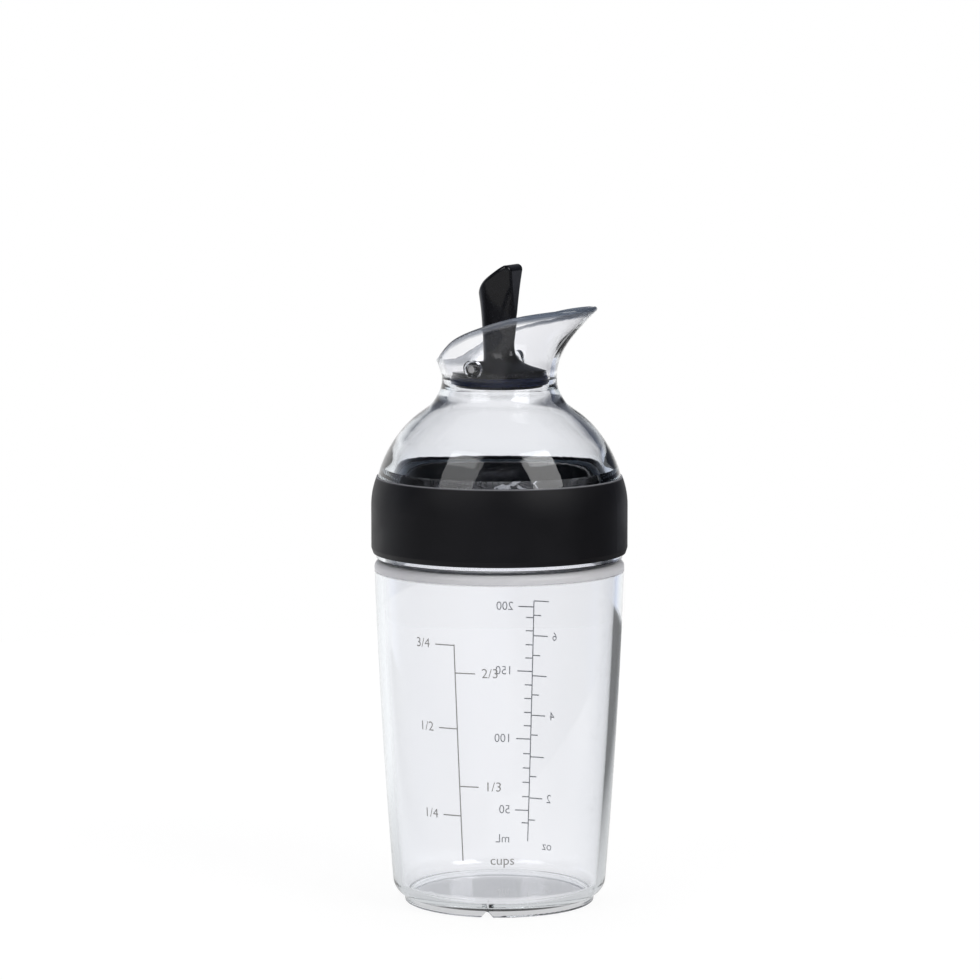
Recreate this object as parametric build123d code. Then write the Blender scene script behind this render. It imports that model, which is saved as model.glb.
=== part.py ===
from build123d import *
from math import cos, pi, sin
import os

os.makedirs("parts", exist_ok=True)

# Sizes in millimetres. Z is up from the floor, X points along the pouring spout,
# and the hinge pin of the lever lies along Y.

# cup
foot_radius = 25.7
foot_width = 2.3
foot_recess = 1.6
foot_edge = 0.4
foot_side = 1.8
cup_low_step = 3.2
cup_low_height = 6.0
cup_mid_step = 3.0
cup_top_step = 1.85
cup_height = 93.1
cup_top_round = 1.7
cup_wall = 2.3
cup_floor_height = 3.3
cup_floor_round = 3.2
shoulder_width = 4.25
shoulder_thickness = 2.1
shoulder_inner_round = 0.8
neck_wall = 1.7
neck_height = 19.9
neck_rim_round = 0.6
notch_width = 3.4
notch_height = 1.9
notch_round = 0.5
notch_angle = -72.5

# gasket under the lid
gasket_thickness = 1.5
gasket_play = 0.3
gasket_face_gap = 0.05
gasket_edge = 0.25

# lid shell: skirt, dome and neck
lid_gap = 1.0
lid_rim_step = 1.0
lid_rim_height = 1.2
skirt_wall = 1.4
thread_gap = 1.4
ledge_thickness = 1.3
dome_step = 0.45
dome_foot_wall = 4.1
dome_rise = 26.45
waist_radius = 15.5
waist_wall = 2.0
bore_depth = 3.2
dome_shares = [(0.846, 0.261), (0.58, 0.51), (0.36, 0.64), (0.139, 0.756), (0.035, 0.875)]
dome_inner_shares = [(0.934, 0.187), (0.675, 0.478), (0.464, 0.624), (0.189, 0.781), (0.046, 0.902)]
dome_lean = 0.22

# soft grip band
band_wall = 2.3
band_low_wall = 1.8
band_top_wall = 0.8
band_low_share = 0.07
band_high_share = 0.62
band_bulge_share = 0.24

# pouring spout
spout_tip_flare = 14.7
spout_side_flare = 1.9
spout_tip_rise = 20.15
spout_rear_rise = 5.45
spout_wall = 1.8
spout_lean = 0.55
spout_root = 1.0
spout_section_overrun = 2.5
spout_nose_power = 7
spout_points = 24
rim_round = 0.7
flare_rise_shares = [0.0, 0.124, 0.272, 0.512, 0.761, 1.0]
flare_side_shares = [-0.04, 0.12, 0.6, 0.86, 0.95, 1.0]
flare_tip_shares = [-0.005, 0.01, 0.085, 0.28, 0.585, 1.0]
flare_lean_shares = [0.0, 0.3, 1.0, 0.5, 0.0, 0.0]
flare_wall_shares = [1.04, 0.8, 1.0, 1.0, 1.0, 1.0]
rim_shares = [(0.07, 0.02), (0.12, 0.11), (0.21, 0.34), (0.335, 0.545),
              (0.46, 0.69), (0.6, 0.82), (0.78, 0.925), (0.92, 0.98)]

# stopper: flange, groove and foot on the lever, with the seal in the groove
flange_play = 0.8
flange_thickness = 1.4
flange_rise = 0.85
groove_depth = 3.1
seal_height = 2.3
seal_play = 0.6
seal_lip_play = 0.3
seal_lip_share = 0.5
seal_lip_half = 0.35
foot_disc_play = 1.6
foot_disc_thickness = 1.1
edge_round = 0.3

# hinge of the lever
pin_radius = 1.3
pin_inset = 0.3
pin_x = -1.2
pin_rise = 1.3
pin_edge = 0.2
pin_play = 0.05
barrel_radius = 2.1
barrel_inset = 0.3
boss_radius = 2.4
boss_gap = 0.6

# lever blade above the flange; its even sections give length, width and shift along X
blade_height = 28.9
blade_length = 13.6
blade_width = 9.0
blade_loft_overrun = 1.7
blade_face_reach = 4.9
blade_face_sag = 0.45
blade_face_low_share = 0.3
blade_top_round = 1.6
blade_round = 0.9
blade_shares = [(1.22, 1.556, 0.25), (0.757, 0.711, 0.04), (0.662, 0.567, -0.016), (0.691, 0.589, -0.015),
                (0.731, 0.629, -0.011), (0.794, 0.7, -0.004), (0.89, 0.811, 0.009), (0.985, 0.956, 0.027),
                (1.088, 1.111, 0.048), (1.191, 1.267, 0.07)]
blade_top_shares = [(-0.46, 0.665), (-0.412, 0.72), (-0.36, 0.766), (-0.272, 0.818), (-0.11, 0.878),
                    (0.08, 0.939), (0.25, 0.984)]

overrun = 3.0

# radii that follow from the sizes above
cup_low_radius = foot_radius + cup_low_step
cup_mid_radius = cup_low_radius + cup_mid_step
cup_top_radius = cup_mid_radius + cup_top_step
neck_radius = cup_top_radius - shoulder_width
skirt_radius = neck_radius + thread_gap
band_seat_radius = skirt_radius + skirt_wall
lid_rim_radius = band_seat_radius + lid_rim_step
dome_radius = band_seat_radius + dome_step
dome_inner_radius = dome_radius - dome_foot_wall
band_radius = band_seat_radius + band_wall
band_low_radius = band_seat_radius + band_low_wall
band_top_radius = band_seat_radius + band_top_wall
bore_radius = waist_radius - waist_wall
spout_side_radius = waist_radius + spout_side_flare
spout_tip_reach = waist_radius + spout_tip_flare
flange_radius = bore_radius - flange_play
groove_radius = flange_radius - groove_depth
seal_radius = bore_radius - seal_play
seal_lip_radius = bore_radius - seal_lip_play
foot_disc_radius = bore_radius - foot_disc_play
barrel_half_length = flange_radius - barrel_inset
pin_half_length = waist_radius - pin_inset
blade_loft_height = blade_height + blade_loft_overrun

# levels that follow from the sizes above
rim_of_cup = cup_height + neck_height
lid_foot = cup_height + lid_gap
band_foot = lid_foot + lid_rim_height
gasket_floor = rim_of_cup + gasket_face_gap
gasket_top = gasket_floor + gasket_thickness
ledge_height = gasket_top + gasket_face_gap
dome_foot_height = ledge_height + ledge_thickness
waist_height = dome_foot_height + dome_rise
spout_tip_height = waist_height + spout_tip_rise
spout_rear_height = waist_height + spout_rear_rise
flange_height = waist_height + flange_rise
flange_top = flange_height + flange_thickness
pin_height = flange_top + pin_rise
seal_foot = flange_height - seal_height
stopper_foot = seal_foot - foot_disc_thickness


def revolved(edges):
    """Solid of revolution about Z from edges drawn in radius and height."""
    return revolve(Plane.XZ * make_face(edges), Axis.Z)


def spline_run(start, end, shares, tangents):
    """Curve from start to end; each share pair is measured back from the end radius."""
    points = [(end[0] + (start[0] - end[0]) * r, start[1] + (end[1] - start[1]) * z) for r, z in shares]
    return Spline(start, *points, end, tangents=tangents)


def ring_at(solid, radius, height):
    """The round edge of a solid that is nearest to a radius and a height."""
    rings = solid.edges().filter_by(GeomType.CIRCLE)
    return min(rings, key=lambda e: abs(e.radius - radius) + abs(e.center().Z - height))


def make_cup():
    """Tapered cup on a foot ring, with a shoulder and a narrower threaded neck above."""
    inner = cup_top_radius - cup_wall
    mid_height = (cup_low_height + cup_height) / 2
    outer_top = (cup_top_radius, cup_height - cup_top_round)
    outer_low = (cup_low_radius, cup_low_height)
    outer_side = ThreePointArc(outer_low, (cup_mid_radius, mid_height), outer_top)
    corner = TangentArc(outer_low, (foot_radius, foot_side), tangent=outer_side % 0 * -1)
    neck_in = neck_radius - neck_wall
    inner_low = (cup_low_radius - cup_wall, cup_floor_height + cup_floor_round)
    inner_top = (inner, cup_height - shoulder_thickness)
    inner_side = ThreePointArc(inner_low, (cup_mid_radius - cup_wall, mid_height), inner_top)
    floor_edge = (inner_low[0] - cup_floor_round, cup_floor_height)
    floor_round = TangentArc(inner_low, floor_edge, tangent=inner_side % 0 * -1)
    foot_in = foot_radius - foot_width
    base = Polyline((0, cup_floor_height), (0, foot_recess), (foot_in, foot_recess),
                    (foot_in, 0), (foot_radius, 0), (foot_radius, foot_side))
    round_end = (cup_top_radius - cup_top_round, cup_height)
    shoulder_round = TangentArc(outer_top, round_end, tangent=outer_side % 1)
    shoulder = Polyline(round_end, (neck_radius, cup_height), (neck_radius, rim_of_cup),
                        (neck_in, rim_of_cup), (neck_in, inner_top[1]), inner_top)
    outline = base + corner + outer_side + shoulder_round + shoulder + inner_side + floor_round
    outline += Line(floor_edge, (0, cup_floor_height))
    cup = revolved(outline)
    rounds = [(neck_in, rim_of_cup, neck_rim_round), (neck_radius, rim_of_cup, neck_rim_round),
              (foot_in, 0, foot_edge), (foot_radius, 0, foot_edge), (*inner_top, shoulder_inner_round)]
    for radius, height, size in rounds:
        cup = fillet(ring_at(cup, radius, height), size)
    return cup - make_notch()


def make_notch():
    """Drain notch: a blunt inverted V cut through the foot ring."""
    half = notch_width / 2
    outline = Polyline((-half - notch_height, -notch_height), (-half, 0), (0, notch_height), (half, 0),
                       (half + notch_height, -notch_height), close=True)
    section = make_face(outline)
    tip = section.vertices().sort_by(Axis.Y)[-1]
    section = fillet(tip, notch_round)
    cutter = extrude(Plane.YZ * section, foot_radius + overrun)
    return Rot(Z=notch_angle) * (cutter - Cylinder(foot_radius - foot_width * 2, notch_height * 4))


def make_band():
    """Soft sleeve round the lid's skirt, drawn in at its top to follow the dome."""
    tall = dome_foot_height - band_foot
    low = band_foot + tall * band_low_share
    high = band_foot + tall * band_high_share
    mid = (high + dome_foot_height) / 2
    bulge = band_top_radius + (band_radius - band_top_radius) * (1 - band_bulge_share)
    outline = Polyline((band_top_radius, dome_foot_height), (band_seat_radius, dome_foot_height),
                       (band_seat_radius, band_foot), (band_low_radius, band_foot), (band_radius, low),
                       (band_radius, high))
    outline += ThreePointArc((band_radius, high), (bulge, mid), (band_top_radius, dome_foot_height))
    return revolved(outline)


def make_gasket():
    """Flat sealing ring between the cup's rim and the ledge inside the lid."""
    inner = neck_radius - neck_wall + gasket_play
    outer = skirt_radius - gasket_play
    ring = Cylinder(outer, gasket_thickness) - Cylinder(inner, gasket_thickness + overrun)
    ring = chamfer(ring.edges().filter_by(GeomType.CIRCLE), gasket_edge)
    return Pos(Z=(gasket_floor + gasket_top) / 2) * ring


def spout_outline(side, tip, lean, inset, height):
    """Closed section of the spout: round at the back, with a lobe that reaches along X."""
    points = []
    for i in range(spout_points):
        turn = 2 * pi * i / spout_points
        reach = side + (tip - side) * ((1 + cos(turn)) / 2) ** spout_nose_power - inset
        points.append((reach * cos(turn) - lean, reach * sin(turn)))
    return Pos(Z=height) * Wire(Spline(*points, periodic=True))


def spout_body(walls):
    """Loft of the flared spout, drawn in by the wall shares given."""
    foot = waist_height - spout_root
    rise = spout_tip_height + spout_section_overrun - foot
    sections = []
    for up, side, tip, lean, wall in zip(flare_rise_shares, flare_side_shares, flare_tip_shares,
                                         flare_lean_shares, walls):
        sections.append(make_face(spout_outline(
            waist_radius + (spout_side_radius - waist_radius) * side,
            waist_radius + (spout_tip_reach + spout_section_overrun - waist_radius) * tip,
            spout_lean * lean, spout_wall * wall, foot + rise * up)))
    return loft(sections)


def rim_cutter():
    """Everything above the rim, which climbs from the back of the spout to its tip."""
    length = spout_tip_reach + spout_side_radius
    climb = spout_tip_height - spout_rear_height
    points = [(-spout_side_radius + length * x, spout_rear_height + climb * z) for x, z in rim_shares]
    start = (-spout_side_radius, spout_rear_height)
    end = (spout_tip_reach, spout_tip_height)
    far = spout_tip_reach + spout_side_radius
    top = spout_tip_height + spout_side_radius
    edge = Line((-far, spout_rear_height), start) + Spline(start, *points, end)
    edge += Polyline(end, (far, spout_tip_height), (far, top), (-far, top), (-far, spout_rear_height))
    return extrude(Plane.XZ.offset(-far) * make_face(edge), far * 2)


def make_lid():
    """Clear lid in one piece: skirt, dome, neck with its bore, hinge bosses and pouring spout."""
    foot = (dome_radius, dome_foot_height)
    waist = (waist_radius, waist_height)
    outer = spline_run(foot, waist, dome_shares, [(-dome_lean, 1), (0, 1)])
    bore_foot = (bore_radius, waist_height - bore_depth)
    inner_foot = (dome_inner_radius, dome_foot_height + skirt_wall)
    inner = spline_run(inner_foot, bore_foot, dome_inner_shares, [(-dome_lean, 1), (-dome_lean, 1)])
    outline = Polyline((dome_inner_radius, ledge_height), (skirt_radius, ledge_height),
                       (skirt_radius, lid_foot), (lid_rim_radius, lid_foot), (lid_rim_radius, band_foot),
                       (band_seat_radius, band_foot), (band_seat_radius, dome_foot_height), foot)
    outline += outer + Polyline(waist, (bore_radius, waist_height), bore_foot) + inner
    outline += Line(inner_foot, (dome_inner_radius, ledge_height))
    lid = revolved(outline)
    outside = spout_body([0 for share in flare_wall_shares])
    spout = outside - spout_body(flare_wall_shares) - rim_cutter()
    spout = fillet([e for e in spout.edges() if min((e @ 0).Z, (e @ 1).Z) > spout_rear_height], rim_round)
    boss = Cylinder(boss_radius, waist_radius, align=(Align.CENTER, Align.CENTER, Align.MIN))
    boss = Pos(Z=barrel_half_length + boss_gap) * boss
    bosses = [pin_axis() * Rot(X=turn) * boss & outside for turn in (0, 180)]
    spout = spout + bosses - pin_axis() * Cylinder(pin_radius, spout_side_radius * 2)
    return lid + spout


def pin_axis():
    """Place on the hinge axis, with the local Z along the pin."""
    return Pos(pin_x, 0, pin_height) * Rot(X=90)


def make_pin():
    """Steel hinge pin, pressed into both bosses of the spout."""
    pin = Cylinder(pin_radius, pin_half_length * 2)
    pin = chamfer(pin.edges().filter_by(GeomType.CIRCLE), pin_edge)
    return pin_axis() * pin


def make_seal():
    """Seal ring of the stopper, with a lip round its outside that meets the bore."""
    lip = seal_foot + seal_height * seal_lip_share
    outline = Polyline((groove_radius, seal_foot), (seal_radius, seal_foot),
                       (seal_radius, lip - seal_lip_half * 2), (seal_lip_radius, lip - seal_lip_half),
                       (seal_lip_radius, lip + seal_lip_half), (seal_radius, lip + seal_lip_half * 2),
                       (seal_radius, flange_height), (groove_radius, flange_height), close=True)
    return revolved(outline)


def blade_section(rise, length, width, shift):
    """Oval section of the lever's blade, from its shares of the blade's sizes."""
    oval = make_face(Ellipse(blade_length * length / 2, blade_width * width / 2).wire())
    return Pos(blade_length * shift, 0, flange_top + rise) * oval


def blade_profile():
    """Side view of the blade: a humped top that climbs forward, and a hollow thumb face."""
    far = blade_length
    points = [(blade_length * x, flange_top + blade_height * z) for x, z in blade_top_shares]
    low = flange_top + blade_height * blade_face_low_share
    top = flange_top + blade_height
    tip = (blade_face_reach + blade_face_sag, top)
    edge = Polyline((far, low), (far, flange_top - overrun), (-far, flange_top - overrun),
                    (-far, points[0][1]), points[0])
    edge += Spline(*points, tip)
    edge += ThreePointArc(tip, (blade_face_reach, (low + top) / 2), (blade_face_reach + blade_face_sag, low))
    edge += Line((blade_face_reach + blade_face_sag, low), (far, low))
    face = make_face(edge)
    corner = face.vertices().sort_by_distance((*tip, 0))[0]
    return fillet(corner, blade_top_round)


def make_blade():
    """Blade of the lever: a trumpet foot, an oval waist and a wide head with a thumb face."""
    steps = len(blade_shares) - 1
    low = flange_top + blade_height * blade_face_low_share
    blade = loft([blade_section(blade_loft_height * i / steps, *s) for i, s in enumerate(blade_shares)])
    sides = extrude(Plane.XZ.offset(-blade_length) * blade_profile(), blade_length * 2)
    blade = blade & sides
    rims = [e for e in blade.edges() if (e @ 0).Z > low and abs((e @ 0.5).Y) > blade_round]
    return fillet(rims, blade_round)


def make_lever():
    """Lever and stopper in one moulding: blade, hinge barrel, flange, groove and foot disc."""
    foot = Pos(Z=(stopper_foot + seal_foot) / 2) * Cylinder(foot_disc_radius, foot_disc_thickness)
    core = Pos(Z=(seal_foot + flange_height) / 2) * Cylinder(groove_radius, seal_height)
    flange = Pos(Z=(flange_height + flange_top) / 2) * Cylinder(flange_radius, flange_thickness)
    barrel = pin_axis() * Cylinder(barrel_radius, barrel_half_length * 2)
    lever = fillet(foot.edges().filter_by(GeomType.CIRCLE), edge_round) + core
    lever += fillet(flange.edges().filter_by(GeomType.CIRCLE), edge_round)
    lever += [make_blade(), barrel]
    return lever - pin_axis() * Cylinder(pin_radius + pin_play, spout_side_radius * 2)


pieces = {
    "cup": make_cup,
    "lid_shell": make_lid,
    "grip_band": make_band,
    "lid_gasket": make_gasket,
    "lever": make_lever,
    "stopper_seal": make_seal,
    "hinge_pin": make_pin,
}
for name, make in pieces.items():
    export_step(make(), f"parts/{name}.step")
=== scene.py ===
import math
import bmesh
import bpy
from mathutils import Matrix, Vector


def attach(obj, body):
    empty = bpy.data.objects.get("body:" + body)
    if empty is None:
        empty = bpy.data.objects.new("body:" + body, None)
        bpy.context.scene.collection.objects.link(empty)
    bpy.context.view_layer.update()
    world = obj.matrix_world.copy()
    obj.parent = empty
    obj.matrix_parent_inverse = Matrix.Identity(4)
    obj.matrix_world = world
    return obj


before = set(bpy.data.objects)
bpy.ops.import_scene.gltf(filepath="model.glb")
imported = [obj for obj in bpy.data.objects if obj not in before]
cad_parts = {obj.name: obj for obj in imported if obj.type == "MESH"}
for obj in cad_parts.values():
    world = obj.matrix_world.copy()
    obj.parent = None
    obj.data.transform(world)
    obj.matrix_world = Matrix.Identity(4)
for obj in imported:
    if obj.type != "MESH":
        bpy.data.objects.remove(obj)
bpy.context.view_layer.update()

MM = 0.001
FULL_TURN = 360
WHITE = (1, 1, 1, 1)

# view of the photograph: turned about Z from the -Y side; lens and sensor in millimetres, the rest in metres
VIEW_TURN = math.radians(25.0)
VIEW_PITCH = math.radians(6.638)
VIEW_DISTANCE = 1.160
VIEW_HEIGHT = 0.247
VIEW_SHIFT = 0.002545
LENS = 159.06
SENSOR = 36.0
CAMERA_CLIP = (0.05, 20)
VIEW_RIGHT = (math.cos(VIEW_TURN), math.sin(VIEW_TURN), 0.0)
VIEW_AHEAD = (-math.sin(VIEW_TURN), math.cos(VIEW_TURN), 0.0)

# grey levels of the studio that reflections show, from the back of the room (-1) to the backdrop (1)
ROOM_STOPS = [(-1.0, 0.3), (-0.5, 0.2), (0.0, 0.08), (0.2, 0.08), (0.45, 0.25), (0.66, 0.75),
              (0.82, 1.0), (1.0, 1.0)]
# grey levels seen through a single clear wall, from the camera's left (-1) to its right (1)
SIDE_STOPS = [(-1.0, 0.75), (-0.8, 0.75), (-0.3, 1.0), (0.3, 1.0), (0.62, 0.65), (0.88, 0.58),
              (1.0, 0.8)]
# share of both that is left, from the floor (-1) to the ceiling (1); all that two clear walls show
CEILING_STOPS = [(-1.0, 1.0), (0.0, 1.0), (0.22, 0.14), (1.0, 0.07)]
BACKDROP_TURN = math.radians(38.0)
CEILING_TILT = math.radians(13.0)
COOL = (1.0, 1.05, 1.2)

# a ray counts whole reflections and whole surfaces of clear plastic, two for each wall
ANY_REFLECTION = 0.5
MORE_THAN_ONE_WALL = 2.5
SEEN_RAYS = ["Is Camera Ray", "Is Glossy Ray", "Is Transmission Ray"]

# floor in metres: as the light meets it, and as it is seen, with the lift from its middle to its edge
FLOOR_RADIUS = 0.5
FLOOR_SIDES = 96
FLOOR_ALBEDO = 0.8
FLOOR_ROUGHNESS = 0.9
FLOOR_GREY = 0.1
FLOOR_LIFT = (0.93, 0.97)
# what reflections show of the lift, away from the camera and to its right: levels, and where they hold
FLOOR_AHEAD = ((0.5, 1.0), (-0.1, 0.15))
FLOOR_RIGHT = ((1.0, 0.15), (0.03, 0.12))

# area lamps: turn in degrees from the camera's side, height, distance and size in metres, power in
# watts, and whether reflections and clear plastic show them
LAMPS = [("softbox_left", -43, 0.70, 0.9, (0.62, 0.7), 3.2, True),
         ("softbox_right", 48, 0.70, 0.9, (0.56, 0.7), 5, True),
         ("softbox_top", 180, 1.25, 0.15, (0.9, 0.6), 6, False)]
LAMP_AIM = 0.1

# limits between which noise drives a value or a colour
NOISE_SPAN = (0.3, 0.7)

# clear plastic: colours that its flow lines vary between, and its tint where it is thick
PLASTIC_TONES = ((0.982, 0.974, 0.99), (1.0, 0.99, 1.0))
PLASTIC_IOR = 1.5
DEPTH_TINT = (0.72, 0.86, 0.92)
DEPTH_DENSITY = 45

# side of the cup as an arc: centre and radius in its half section, in millimetres, and how close to the
# arc's normal the mesh has to come
SIDE_CENTRE = (-1704.030, 147.254)
SIDE_RADIUS = 1738.678
WALL_MATCH = 0.99

# turned part of the lid: its top in metres, and the sideways lean that its facets can give a normal
DOME_TOP = 0.1405
DOME_LEAN = 0.1

# unpolished shoulder of the cup: heights in metres, and how wide its lower edge fades
CUP_SATIN = (0.0905, 0.0934)
SATIN_BLEND = 0.0005
SATIN_ROUGHNESS = 0.4
SATIN_CLEARNESS = 0.12

# rim of the spout, from its back to its tip, in metres: places along X and Z, shares of the climb
# between, and how far under the rim its painted shade starts and is full
RIM_BACK = (-0.0174, 0.1478)
RIM_TIP = (0.0302, 0.1625)
RIM_SHARES = [(0.07, 0.02), (0.12, 0.11), (0.21, 0.34), (0.335, 0.545), (0.46, 0.69), (0.6, 0.82),
              (0.78, 0.925), (0.92, 0.98)]
RIM_SHADE_DEPTH = (0.0021, 0.0011)
# painted shade of the rim: its colour, its share at the back, and the clearness that it leaves
RIM_SHADE_TONE = (0.22, 0.26, 0.33)
RIM_SHADE_BACK_SHARE = 0.4
RIM_SHADE_CLEARNESS = 0.5

# painted highlight along the top of the grip band: the band's top and the highlight's width, in metres
GRIP_TOP = 0.1159
GRIP_HIGHLIGHT_WIDTH = 0.0004
GRIP_HIGHLIGHT_TONE = (0.3, 0.3, 0.32)

# printing, in millimetres; the letters are thinned by a share of their size
PRINT_LIFT = 0.03
BAR_WIDTH = 0.31
BAR_STEPS = 8
TEXT_RESOLUTION = 6
TEXT_THINNING = 0.004
INK_SPREAD = (0.88, 1.1)

# front scale: turns round the cup in degrees, heights and the size of its text in millimetres
FRONT_LINE = (-86.28, 74.6, -84.08, 16.05)
FRONT_MARKS = [("3/4", 74.35, "left"), ("2/3", 66.95, "right"), ("1/2", 51.9, "left"),
               ("1/3", 36.35, "right"), ("1/4", 28.3, "left")]
FRONT_TICK = 9.6
FRONT_LABEL = 12.5
FRONT_TEXT = 3.6
CUPS_PLACE = (-69.9, 16.35)

# back scale, in the same units: millilitres on one side of its line and ounces on the other
BACK_LINE = (97.2, 77.5, 98.3, 10.4)
METRIC_MARKS = [(200, 75.8), (190, 72.8), (180, 69.1), (170, 65.2), (160, 61.5), (150, 57.8),
                (140, 54.0), (130, 50.2), (120, 46.3), (110, 42.6), (100, 38.9), (90, 34.8),
                (80, 30.8), (70, 26.8), (60, 22.8), (50, 19.0), (40, 15.5)]
METRIC_STEP = 50
METRIC_UNIT_HEIGHT = 10.9
OUNCE_MARKS = [("6", 67.8), ("", 56.6), ("4", 45.6), ("", 34.0), ("2", 22.5)]
OUNCE_HALVES = [73.5, 62.3, 51.3, 40.1, 28.5, 16.4]
OUNCE_UNIT_HEIGHT = 9.4
OUNCE_UNIT_LABEL = 9
BACK_TICK = 8
BACK_SHORT_TICK = 4
BACK_LABEL = 10.5
BACK_TEXT = 3.4

# screw threads, in millimetres and degrees: rise of a full turn, a ridge's height, width, root, share of
# the width at its crest and rounding, and the turn over which it runs out, with what is left at its end
THREAD_RISE = 14.0
THREAD_HEIGHT = 0.8
THREAD_WIDTH = 1.7
THREAD_ROOT = 0.05
THREAD_CREST = 0.55
THREAD_ROUNDING = 0.2
THREAD_ROUNDING_STEPS = 3
THREAD_RUN_OUT = 14.0
THREAD_END = 1
THREAD_STARTS = 2
THREAD_STEPS = 48
# wall radius, lowest point and sweep of each ridge, and the first one's turn; the lid's lie under the cup's
CUP_THREAD = (29.5, 98.0, 160.0)
CUP_THREAD_TURN = 0
LID_THREAD = (30.9, 97.9, 110.0)
LID_THREAD_TURN = 52.0


# objects

def side_radius(z):
    """Outer radius of the cup at a height, both in millimetres."""
    return SIDE_CENTRE[0] + math.sqrt(SIDE_RADIUS ** 2 - (z - SIDE_CENTRE[1]) ** 2)


def round_axis(reach, turn, z):
    """Point at a distance from the axis and a height in millimetres, and a turn in degrees."""
    a = math.radians(turn)
    return Vector((reach * math.cos(a), reach * math.sin(a), z)) * MM


def on_cup(turn, z):
    """Point of the print on the cup, from degrees round the axis and a height in millimetres."""
    return round_axis(side_radius(z) + PRINT_LIFT, turn, z)


def new_object(name, bm, material):
    """Object with a material, from a mesh under construction, which is freed."""
    mesh = bpy.data.meshes.new(name)
    bm.to_mesh(mesh)
    bm.free()
    mesh.materials.append(material)
    obj = bpy.data.objects.new(name, mesh)
    bpy.context.scene.collection.objects.link(obj)
    return obj


def new_piece(name, bm, material, body):
    """Object that moves with a body."""
    obj = new_object(name, bm, material)
    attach(obj, body)
    return obj


# nodes

def feed(tree, socket, value):
    """Link a socket to another one, or give it a plain value."""
    if isinstance(value, bpy.types.NodeSocket):
        tree.links.new(value, socket)
    else:
        socket.default_value = value


def combine(tree, operation, *values):
    """Result of an operation on values."""
    node = tree.nodes.new("ShaderNodeMath")
    node.operation = operation
    for socket, value in zip(node.inputs, values):
        feed(tree, socket, value)
    return node.outputs["Value"]


def combine_vectors(tree, operation, *values, output="Vector"):
    """Result of an operation on vectors, or on a vector and a scale."""
    node = tree.nodes.new("ShaderNodeVectorMath")
    node.operation = operation
    sockets = (node.inputs[0], node.inputs["Scale"]) if operation == "SCALE" else node.inputs
    for socket, value in zip(sockets, values):
        feed(tree, socket, value)
    return node.outputs[output]


def map_range(tree, value, source, target=(0, 1)):
    """Value moved from one range to another, and held inside it."""
    span = tree.nodes.new("ShaderNodeMapRange")
    span.inputs["From Min"].default_value, span.inputs["From Max"].default_value = source
    span.inputs["To Min"].default_value, span.inputs["To Max"].default_value = target
    feed(tree, span.inputs["Value"], value)
    return span.outputs["Result"]


def mix(tree, data_type, factor, a, b, blend_type="MIX"):
    """Blend of two colours or two vectors."""
    node = tree.nodes.new("ShaderNodeMix")
    node.data_type = data_type
    node.blend_type = blend_type
    for name, value in (("Factor", factor), ("A", a), ("B", b)):
        feed(tree, node.inputs[name], value)
    return node.outputs["Result"]


def mix_shaders(tree, factor, a, b):
    """Blend of two shaders."""
    node = tree.nodes.new("ShaderNodeMixShader")
    for socket, value in zip(node.inputs, (factor, a, b)):
        feed(tree, socket, value)
    return node.outputs["Shader"]


def coordinates(tree, kind):
    """Place on the object, or direction of a world ray."""
    return tree.nodes.new("ShaderNodeTexCoord").outputs[kind]


def object_place(tree):
    """Place on the object as its X, Y and Z."""
    parts = tree.nodes.new("ShaderNodeSeparateXYZ")
    feed(tree, parts.inputs["Vector"], coordinates(tree, "Object"))
    return parts.outputs


def object_noise(tree, scale, detail, stretch=(1, 1, 1)):
    """Noise in object space, with an optional stretch along the axes."""
    mapping = tree.nodes.new("ShaderNodeMapping")
    mapping.inputs["Scale"].default_value = stretch
    feed(tree, mapping.inputs["Vector"], coordinates(tree, "Object"))
    noise = tree.nodes.new("ShaderNodeTexNoise")
    noise.inputs["Scale"].default_value = scale
    noise.inputs["Detail"].default_value = detail
    feed(tree, noise.inputs["Vector"], mapping.outputs["Vector"])
    return noise.outputs["Fac"]


def world_direction(tree, vector):
    """World direction of an object's direction, as a unit vector."""
    turned = tree.nodes.new("ShaderNodeVectorTransform")
    turned.vector_type = "NORMAL"
    turned.convert_from, turned.convert_to = "OBJECT", "WORLD"
    feed(tree, turned.inputs["Vector"], vector)
    return combine_vectors(tree, "NORMALIZE", turned.outputs["Vector"])


def meshed_normal(tree):
    """Normal that the mesh gives."""
    return tree.nodes.new("ShaderNodeNewGeometry").outputs["Normal"]


# materials

def shader(name):
    """New material with its nodes and its principled shader."""
    mat = bpy.data.materials.new(name)
    mat.use_nodes = True
    return mat, mat.node_tree, mat.node_tree.nodes["Principled BSDF"]


def tint(tree, bsdf, noise, dark, light):
    """Drive the shader's colour from noise, between two colours."""
    ramp = tree.nodes.new("ShaderNodeValToRGB")
    for element, at, color in zip(ramp.color_ramp.elements, NOISE_SPAN, (dark, light)):
        element.position = at
        element.color = (*color, 1)
    feed(tree, ramp.inputs["Fac"], noise)
    feed(tree, bsdf.inputs["Base Color"], ramp.outputs["Color"])


def roughen(tree, bsdf, noise, low, high):
    """Drive the shader's roughness from noise, between two limits."""
    feed(tree, bsdf.inputs["Roughness"], map_range(tree, noise, NOISE_SPAN, (low, high)))


def bump(tree, bsdf, noise, strength, distance):
    """Relief from noise; distance in metres."""
    node = tree.nodes.new("ShaderNodeBump")
    node.inputs["Strength"].default_value = strength
    node.inputs["Distance"].default_value = distance
    feed(tree, node.inputs["Height"], noise)
    feed(tree, bsdf.inputs["Normal"], node.outputs["Normal"])


def mix_color(tree, bsdf, factor, color):
    """Blend the shader's colour with another one."""
    own = bsdf.inputs["Base Color"].links[0].from_socket
    feed(tree, bsdf.inputs["Base Color"], mix(tree, "RGBA", factor, own, (*color, 1)))


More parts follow.
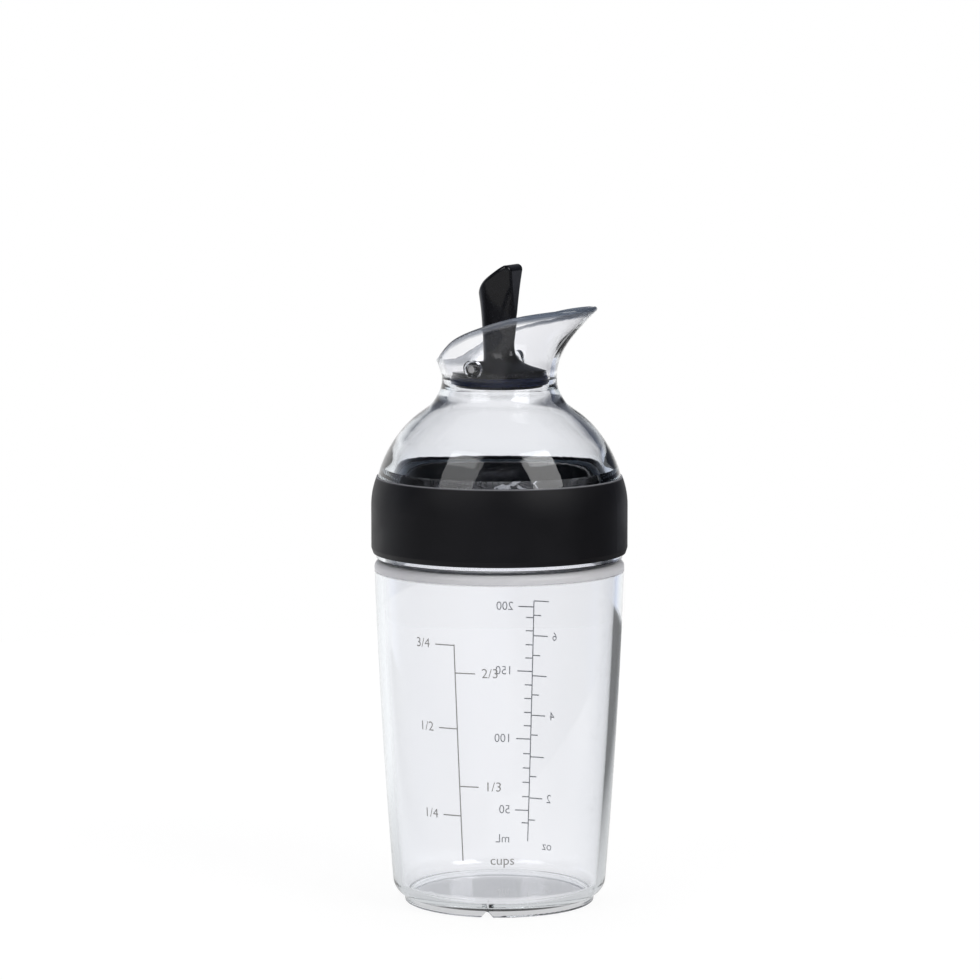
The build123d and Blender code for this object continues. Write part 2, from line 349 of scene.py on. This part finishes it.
def satin_shoulder(tree, bsdf):
    """Leave the mould unpolished at the cup's shoulder."""
    height = object_place(tree)["Z"]
    above = map_range(tree, height, (CUP_SATIN[0] - SATIN_BLEND, CUP_SATIN[0] + SATIN_BLEND))
    ring = combine(tree, "MULTIPLY", above, combine(tree, "LESS_THAN", height, CUP_SATIN[1]))
    polish = bsdf.inputs["Roughness"].links[0].from_socket
    rough = combine(tree, "MULTIPLY", ring, SATIN_ROUGHNESS)
    feed(tree, bsdf.inputs["Roughness"], combine(tree, "ADD", polish, rough))
    clearness = map_range(tree, ring, (0, 1), (1, SATIN_CLEARNESS))
    feed(tree, bsdf.inputs["Transmission Weight"], clearness)


def true_wall(tree, bsdf):
    """Shade the cup's side by its arc: in a clear wall, the facets of the mesh would show."""
    place = coordinates(tree, "Object")
    level = combine_vectors(tree, "MULTIPLY", place, (1.0, 1.0, 0.0))
    reach = combine_vectors(tree, "LENGTH", level, output="Value")
    from_centre = combine(tree, "SUBTRACT", reach, SIDE_CENTRE[0] * MM)
    outward = combine_vectors(tree, "SCALE", combine_vectors(tree, "NORMALIZE", level), from_centre)
    upward = combine_vectors(tree, "MULTIPLY", place, (0.0, 0.0, 1.0))
    upward = combine_vectors(tree, "SUBTRACT", upward, (0.0, 0.0, SIDE_CENTRE[1] * MM))
    normal = world_direction(tree, combine_vectors(tree, "ADD", outward, upward))
    meshed = meshed_normal(tree)
    match = combine_vectors(tree, "DOT_PRODUCT", normal, meshed, output="Value")
    normal = combine_vectors(tree, "SCALE", normal, combine(tree, "SIGN", match))
    on_wall = combine(tree, "GREATER_THAN", combine(tree, "ABSOLUTE", match), WALL_MATCH)
    feed(tree, bsdf.inputs["Normal"], mix(tree, "VECTOR", on_wall, meshed, normal))


def true_dome(tree, bsdf):
    """Shade the turned part of the lid without the sideways lean that the mesh's facets give it."""
    across = combine_vectors(tree, "CROSS_PRODUCT", (0.0, 0.0, 1.0), coordinates(tree, "Object"))
    around = world_direction(tree, across)
    meshed = meshed_normal(tree)
    lean = combine_vectors(tree, "DOT_PRODUCT", meshed, around, output="Value")
    small = combine(tree, "LESS_THAN", combine(tree, "ABSOLUTE", lean), DOME_LEAN)
    turned_part = combine(tree, "LESS_THAN", object_place(tree)["Z"], DOME_TOP)
    lean = combine(tree, "MULTIPLY", lean, combine(tree, "MULTIPLY", small, turned_part))
    normal = combine_vectors(tree, "SUBTRACT", meshed, combine_vectors(tree, "SCALE", around, lean))
    feed(tree, bsdf.inputs["Normal"], combine_vectors(tree, "NORMALIZE", normal))


def darken_rim(tree, bsdf):
    """Painted shade along the spout's rim: seen edge on, through a long way of plastic, the rim looks dark.
    """
    parts = object_place(tree)
    ramp = tree.nodes.new("ShaderNodeValToRGB")
    for at, share in RIM_SHARES:
        ramp.color_ramp.elements.new(at).color = (share, share, share, 1)
    feed(tree, ramp.inputs["Fac"], map_range(tree, parts["X"], (RIM_BACK[0], RIM_TIP[0])))
    rim = map_range(tree, ramp.outputs["Color"], (0, 1), (RIM_BACK[1], RIM_TIP[1]))
    under = combine(tree, "SUBTRACT", rim, parts["Z"])
    share = map_range(tree, parts["X"], (RIM_BACK[0] / 2, RIM_TIP[0] / 2), (RIM_SHADE_BACK_SHARE, 1))
    band = combine(tree, "MULTIPLY", map_range(tree, under, RIM_SHADE_DEPTH), share)
    # painted shade: a darker colour and less clearness in a band under the rim
    mix_color(tree, bsdf, band, RIM_SHADE_TONE)
    clearness = map_range(tree, band, (0, 1), (1, RIM_SHADE_CLEARNESS))
    feed(tree, bsdf.inputs["Transmission Weight"], clearness)


def clear_plastic(name, *details):
    """Polished clear moulding, cool where it is thick, with faint flow lines and handling marks.

    The details are functions that add to its nodes.
    """
    mat, tree, bsdf = shader(name)
    bsdf.inputs["Transmission Weight"].default_value = 1.0
    bsdf.inputs["IOR"].default_value = PLASTIC_IOR
    depth = tree.nodes.new("ShaderNodeVolumeAbsorption")
    depth.inputs["Color"].default_value = (*DEPTH_TINT, 1)
    depth.inputs["Density"].default_value = DEPTH_DENSITY
    feed(tree, tree.nodes["Material Output"].inputs["Volume"], depth.outputs["Volume"])
    flow = object_noise(tree, scale=60, detail=3, stretch=(1, 1, 0.3))
    tint(tree, bsdf, flow, *PLASTIC_TONES)
    haze = object_noise(tree, scale=420, detail=4)
    roughen(tree, bsdf, haze, low=0.0, high=0.03)
    for detail in details:
        detail(tree, bsdf)
    return mat


def soft_grip():
    """Matte elastomer with a fine blasted grain, and a painted highlight: a pale line along its top edge."""
    mat, tree, bsdf = shader("soft_grip")
    bsdf.inputs["Specular IOR Level"].default_value = 0.27
    wear = object_noise(tree, scale=90, detail=4)
    tint(tree, bsdf, wear, dark=(0.0045, 0.0043, 0.006), light=(0.0068, 0.0065, 0.0088))
    # painted highlight: the colour turns pale in a thin strip just under the band's top
    under = combine(tree, "SUBTRACT", GRIP_TOP, object_place(tree)["Z"])
    mix_color(tree, bsdf, map_range(tree, under, (GRIP_HIGHLIGHT_WIDTH, 0)), GRIP_HIGHLIGHT_TONE)
    roughen(tree, bsdf, wear, low=0.46, high=0.58)
    grain = object_noise(tree, scale=5200, detail=2)
    bump(tree, bsdf, grain, strength=0.25, distance=0.00003)
    return mat


def gloss_black():
    """Glossy black moulding with a slight orange peel."""
    mat, tree, bsdf = shader("gloss_black")
    bsdf.inputs["Specular IOR Level"].default_value = 0.35
    marks = object_noise(tree, scale=900, detail=5)
    tint(tree, bsdf, marks, dark=(0.0075, 0.0075, 0.009), light=(0.011, 0.011, 0.0132))
    roughen(tree, bsdf, marks, low=0.07, high=0.14)
    peel = object_noise(tree, scale=260, detail=2)
    bump(tree, bsdf, peel, strength=0.06, distance=0.0002)
    return mat


def navy_seal():
    """Dark blue silicone with a fine grain."""
    mat, tree, bsdf = shader("navy_seal")
    bsdf.inputs["Specular IOR Level"].default_value = 0.12
    grain = object_noise(tree, scale=1500, detail=3)
    tint(tree, bsdf, grain, dark=(0.004, 0.008, 0.033), light=(0.0062, 0.0125, 0.048))
    roughen(tree, bsdf, grain, low=0.34, high=0.46)
    bump(tree, bsdf, grain, strength=0.1, distance=0.00003)
    return mat


def milky_gasket():
    """Translucent bluish silicone."""
    mat, tree, bsdf = shader("milky_gasket")
    bsdf.inputs["Transmission Weight"].default_value = 0.3
    bsdf.inputs["IOR"].default_value = 1.41
    grain = object_noise(tree, scale=700, detail=3)
    tint(tree, bsdf, grain, dark=(0.085, 0.11, 0.145), light=(0.12, 0.15, 0.195))
    roughen(tree, bsdf, grain, low=0.3, high=0.42)
    return mat


def pin_steel():
    """Drawn wire: streaks run along the pin."""
    mat, tree, bsdf = shader("pin_steel")
    bsdf.inputs["Metallic"].default_value = 1.0
    streaks = object_noise(tree, scale=3000, detail=3, stretch=(1, 0.04, 1))
    tint(tree, bsdf, streaks, dark=(0.78, 0.76, 0.74), light=(0.92, 0.9, 0.88))
    roughen(tree, bsdf, streaks, low=0.34, high=0.5)
    return mat


def print_ink(name, color):
    """Screen print: thin grey ink, slightly uneven."""
    mat, tree, bsdf = shader(name)
    speckle = object_noise(tree, scale=2600, detail=4)
    tint(tree, bsdf, speckle, *(tuple(c * spread for c in color) for spread in INK_SPREAD))
    roughen(tree, bsdf, speckle, low=0.42, high=0.6)
    return mat


cup_plastic = clear_plastic("cup_plastic", satin_shoulder, true_wall)
lid_plastic = clear_plastic("lid_plastic", darken_rim, true_dome)
thread_plastic = clear_plastic("thread_plastic")
front_ink = print_ink("front_ink", (0.38, 0.372, 0.362))
back_ink = print_ink("back_ink", (0.62, 0.63, 0.65))

for node, mat in (("cup", cup_plastic), ("lid_shell", lid_plastic), ("grip_band", soft_grip()),
                  ("lid_gasket", milky_gasket()), ("lever", gloss_black()),
                  ("stopper_seal", navy_seal()), ("hinge_pin", pin_steel())):
    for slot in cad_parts[node].material_slots:
        slot.material = mat


# printed scales

def line_turn(line, z):
    """Place of a slanted scale line at a height."""
    return line[0] + (line[2] - line[0]) * (z - line[1]) / (line[3] - line[1])


def add_bar(bm, a, b):
    """Thin bar of ink on the cup between two places (degrees, height)."""
    rows = []
    along = Vector(((b[0] - a[0]) * side_radius(a[1]) * math.pi / 180, b[1] - a[1])).normalized()
    across = Vector((-along.y, along.x)) * BAR_WIDTH / 2
    for i in range(BAR_STEPS + 1):
        t = i / BAR_STEPS
        turn = a[0] + (b[0] - a[0]) * t
        z = a[1] + (b[1] - a[1]) * t
        degrees = math.degrees(across.x / side_radius(z))
        rows.append((bm.verts.new(on_cup(turn - degrees, z - across.y)),
                     bm.verts.new(on_cup(turn + degrees, z + across.y))))
    for (a0, a1), (b0, b1) in zip(rows, rows[1:]):
        bm.faces.new((a0, b0, b1, a1))


def add_tick(bm, line, z, length):
    """Mark that starts at a scale line; its length in degrees."""
    turn = line_turn(line, z)
    add_bar(bm, (turn, z), (turn + length, z))


def add_text(bm, text, size, turn, z, align):
    """Letters wrapped on the cup; size and z in millimetres, turn in degrees."""
    curve = bpy.data.curves.new("letters", "FONT")
    curve.body = text
    curve.size = size
    curve.align_x = align
    curve.align_y = "CENTER"
    curve.resolution_u = TEXT_RESOLUTION
    curve.offset = -size * TEXT_THINNING
    obj = bpy.data.objects.new("letters", curve)
    bpy.context.scene.collection.objects.link(obj)
    bpy.context.view_layer.update()
    mesh = bpy.data.meshes.new_from_object(obj.evaluated_get(bpy.context.evaluated_depsgraph_get()))
    bpy.data.objects.remove(obj)
    verts = [bm.verts.new(on_cup(turn + math.degrees(v.co.x / side_radius(z)), z + v.co.y))
             for v in mesh.vertices]
    for face in mesh.polygons:
        bm.faces.new([verts[i] for i in face.vertices])
    bpy.data.meshes.remove(mesh)


def add_label(bm, line, text, size, z, offset):
    """Text beside a scale line; its offset in degrees."""
    add_text(bm, text, size, line_turn(line, z) + offset, z, "RIGHT" if offset < 0 else "LEFT")


def print_piece(name, bm, ink):
    """Finished print as a piece of its own on the cup."""
    obj = new_piece(name, bm, ink, "cup")


def print_cups():
    """Front scale, in cups."""
    bm = bmesh.new()
    add_bar(bm, FRONT_LINE[:2], FRONT_LINE[2:])
    for label, z, side in FRONT_MARKS:
        sign = -1 if side == "left" else 1
        add_tick(bm, FRONT_LINE, z, sign * FRONT_TICK)
        add_label(bm, FRONT_LINE, label, FRONT_TEXT, z, sign * FRONT_LABEL)
    add_text(bm, "cups", FRONT_TEXT, *CUPS_PLACE, "LEFT")
    print_piece("scale_cups", bm, front_ink)


def print_millilitres():
    """Line of the back scale, with millilitres on one side."""
    bm = bmesh.new()
    add_bar(bm, BACK_LINE[:2], BACK_LINE[2:])
    add_tick(bm, BACK_LINE, BACK_LINE[1], -BACK_TICK)
    for amount, z in METRIC_MARKS:
        major = amount % METRIC_STEP == 0
        add_tick(bm, BACK_LINE, z, BACK_TICK if major else BACK_SHORT_TICK)
        if major:
            add_label(bm, BACK_LINE, str(amount), BACK_TEXT, z, BACK_LABEL)
    add_label(bm, BACK_LINE, "mL", BACK_TEXT, METRIC_UNIT_HEIGHT, BACK_LABEL)
    print_piece("scale_millilitres", bm, back_ink)


def print_ounces():
    """Ounces on the other side of the back scale's line."""
    bm = bmesh.new()
    for label, z in OUNCE_MARKS:
        add_tick(bm, BACK_LINE, z, -BACK_TICK)
        if label:
            add_label(bm, BACK_LINE, label, BACK_TEXT, z, -BACK_LABEL)
    for z in OUNCE_HALVES:
        add_tick(bm, BACK_LINE, z, -BACK_SHORT_TICK)
    add_label(bm, BACK_LINE, "oz", BACK_TEXT, OUNCE_UNIT_HEIGHT, -OUNCE_UNIT_LABEL)
    print_piece("scale_ounces", bm, back_ink)


print_cups()
print_millilitres()
print_ounces()


# screw threads

def add_ridge(bm, wall, low, sweep, start, outward):
    """Thread ridge on a round wall: a trapezoid swept along a helix, run out at both ends."""
    rings = []
    for i in range(THREAD_STEPS + 1):
        turn = sweep * i / THREAD_STEPS
        z = low + THREAD_RISE * turn / FULL_TURN
        to_end = min(turn, sweep - turn) + THREAD_END
        tall = THREAD_HEIGHT * min(1, to_end / THREAD_RUN_OUT)
        section = ((-THREAD_ROOT, 1.0), (tall, THREAD_CREST), (tall, -THREAD_CREST), (-THREAD_ROOT, -1.0))
        rings.append([bm.verts.new(round_axis(wall + r * outward, start + turn, z + half * THREAD_WIDTH / 2))
                      for r, half in section])
    for a, b in zip(rings, rings[1:]):
        for i in range(len(a)):
            j = (i + 1) % len(a)
            bm.faces.new((a[i], a[j], b[j], b[i]))
    bm.faces.new(rings[0])
    bm.faces.new(rings[-1][::-1])


def make_thread(name, thread, turn, outward, body):
    """All ridges of a screw thread as one piece, on the outside (1) or inside (-1) of a wall."""
    bm = bmesh.new()
    for i in range(THREAD_STARTS):
        add_ridge(bm, *thread, turn + i * FULL_TURN / THREAD_STARTS, outward)
    bmesh.ops.recalc_face_normals(bm, faces=bm.faces)
    obj = new_piece(name, bm, thread_plastic, body)
    soft = obj.modifiers.new("soft", "BEVEL")
    soft.width = THREAD_ROUNDING * MM
    soft.segments = THREAD_ROUNDING_STEPS
    soft.limit_method = "ANGLE"


make_thread("cup_thread", CUP_THREAD, CUP_THREAD_TURN, 1, "cup")
make_thread("lid_thread", LID_THREAD, LID_THREAD_TURN, -1, "lid")


# floor, light and camera

def ray_factor(tree, names):
    """Factor that is 1 for the rays named, and 0 for the others."""
    path = tree.nodes.new("ShaderNodeLightPath")
    total = path.outputs[names[0]]
    for name in names[1:]:
        total = combine(tree, "MAXIMUM", total, path.outputs[name])
    return total


def straight_rays(tree):
    """Factor that is 1 for rays that came through clear plastic with no reflection on the way.

    Returned with a second factor, 1 for the rays of these that crossed both walls of the object.
    """
    path = tree.nodes.new("ShaderNodeLightPath")
    direct = combine(tree, "LESS_THAN", path.outputs["Glossy Depth"], ANY_REFLECTION)
    straight = combine(tree, "MULTIPLY", path.outputs["Is Transmission Ray"], direct)
    depth = path.outputs["Transmission Depth"]
    both_walls = combine(tree, "GREATER_THAN", depth, MORE_THAN_ONE_WALL)
    return straight, combine(tree, "MULTIPLY", straight, both_walls)


def floor_level(tree, levels, span, direction=None):
    """Level that changes across the floor: along a direction, or else outward from the middle."""
    place = coordinates(tree, "Object")
    if direction:
        reach = combine_vectors(tree, "DOT_PRODUCT", place, direction, output="Value")
    else:
        reach = combine_vectors(tree, "LENGTH", place, output="Value")
    return map_range(tree, reach, span, levels)


def make_floor():
    """White floor: what is seen of it is lifted to the backdrop's white, and shadows stay."""
    mat, tree, bsdf = shader("floor_white")
    bsdf.inputs["Base Color"].default_value = (FLOOR_ALBEDO, FLOOR_ALBEDO, FLOOR_ALBEDO, 1)
    bsdf.inputs["Roughness"].default_value = FLOOR_ROUGHNESS
    bsdf.inputs["Specular IOR Level"].default_value = 0.0
    seen = tree.nodes.new("ShaderNodeBsdfDiffuse")
    seen.inputs["Color"].default_value = (FLOOR_GREY, FLOOR_GREY, FLOOR_GREY, 1)
    seen_level = floor_level(tree, FLOOR_LIFT, (0.0, FLOOR_RADIUS))
    gloss_level = combine(tree, "MULTIPLY", floor_level(tree, *FLOOR_AHEAD, VIEW_AHEAD),
                          floor_level(tree, *FLOOR_RIGHT, VIEW_RIGHT))
    straight = combine(tree, "MAXIMUM", ray_factor(tree, ["Is Camera Ray"]), straight_rays(tree)[1])
    share = combine(tree, "MAXIMUM", gloss_level, straight)
    lift = tree.nodes.new("ShaderNodeEmission")
    feed(tree, lift.inputs["Strength"], combine(tree, "MULTIPLY", seen_level, share))
    both = tree.nodes.new("ShaderNodeAddShader")
    feed(tree, both.inputs[0], seen.outputs["BSDF"])
    feed(tree, both.inputs[1], lift.outputs["Emission"])
    surface = mix_shaders(tree, ray_factor(tree, SEEN_RAYS), bsdf.outputs["BSDF"], both.outputs["Shader"])
    feed(tree, tree.nodes["Material Output"].inputs["Surface"], surface)
    bm = bmesh.new()
    bmesh.ops.create_circle(bm, cap_ends=True, segments=FLOOR_SIDES, radius=FLOOR_RADIUS)
    obj = new_object("floor", bm, mat)


def level_ramp(tree, direction, stops):
    """Grey level by the share of a world ray that points along a direction."""
    ramp = tree.nodes.new("ShaderNodeValToRGB")
    ramp.color_ramp.interpolation = "EASE"
    elements = ramp.color_ramp.elements
    elements[0].position, elements[1].position = (stops[0][0] + 1) / 2, (stops[-1][0] + 1) / 2
    for at, level in stops[1:-1]:
        elements.new((at + 1) / 2)
    for element, (at, level) in zip(elements, stops):
        element.color = (*(min(level * tone, 1.0) for tone in COOL), 1)
    ray = coordinates(tree, "Generated")
    facing = combine_vectors(tree, "DOT_PRODUCT", ray, direction, output="Value")
    feed(tree, ramp.inputs["Fac"], map_range(tree, facing, (-1, 1)))
    return ramp.outputs["Color"]


def make_world():
    """Studio with a bright backdrop and dim walls; white where nothing is hit."""
    world = bpy.data.worlds.new("studio")
    bpy.context.scene.world = world
    world.use_nodes = True
    tree = world.node_tree
    tree.nodes.clear()
    backdrop = (-math.sin(BACKDROP_TURN), math.cos(BACKDROP_TURN), 0.0)
    tilt = math.sin(CEILING_TILT)
    up = (VIEW_RIGHT[0] * tilt, VIEW_RIGHT[1] * tilt, math.cos(CEILING_TILT))
    ceiling = level_ramp(tree, up, CEILING_STOPS)
    room, side = (mix(tree, "RGBA", 1, level_ramp(tree, direction, stops), ceiling, "MULTIPLY")
                  for direction, stops in ((backdrop, ROOM_STOPS), (VIEW_RIGHT, SIDE_STOPS)))
    layers = []
    for color in (room, side, ceiling, WHITE):
        layer = tree.nodes.new("ShaderNodeBackground")
        feed(tree, layer.inputs["Color"], color)
        layers.append(layer.outputs["Background"])
    surface = layers[0]
    factors = (*straight_rays(tree), ray_factor(tree, ["Is Camera Ray"]))
    for factor, layer in zip(factors, layers[1:]):
        surface = mix_shaders(tree, factor, surface, layer)
    out = tree.nodes.new("ShaderNodeOutputWorld")
    feed(tree, out.inputs["Surface"], surface)


def add_lamp(name, turn, height, distance, size, power, shown):
    """Area lamp aimed at the object's axis."""
    a = VIEW_TURN + math.radians(turn)
    data = bpy.data.lights.new(name, "AREA")
    data.shape = "RECTANGLE"
    data.size, data.size_y = size
    data.energy = power
    obj = bpy.data.objects.new(name, data)
    obj.location = (distance * math.sin(a), -distance * math.cos(a), height)
    aim = Vector((0, 0, LAMP_AIM)) - obj.location
    obj.rotation_euler = aim.to_track_quat("-Z", "Y").to_euler()
    obj.visible_glossy = shown
    obj.visible_transmission = shown
    bpy.context.scene.collection.objects.link(obj)


def add_camera():
    """Camera with the photograph's view."""
    data = bpy.data.cameras.new("camera")
    data.lens = LENS
    data.sensor_width = SENSOR
    data.clip_start, data.clip_end = CAMERA_CLIP
    obj = bpy.data.objects.new("camera", data)
    side = Vector(VIEW_RIGHT)
    toward = -Vector(VIEW_AHEAD)
    back = toward * math.cos(VIEW_PITCH) + Vector((0, 0, math.sin(VIEW_PITCH)))
    up = back.cross(side)
    place = toward * VIEW_DISTANCE - side * VIEW_SHIFT + Vector((0, 0, VIEW_HEIGHT))
    obj.matrix_world = Matrix.Translation(place) @ Matrix((side, up, back)).transposed().to_4x4()
    bpy.context.scene.collection.objects.link(obj)
    bpy.context.scene.camera = obj


make_floor()
make_world()
for lamp in LAMPS:
    add_lamp(*lamp)
add_camera()
bpy.context.scene.view_settings.view_transform = "Standard"
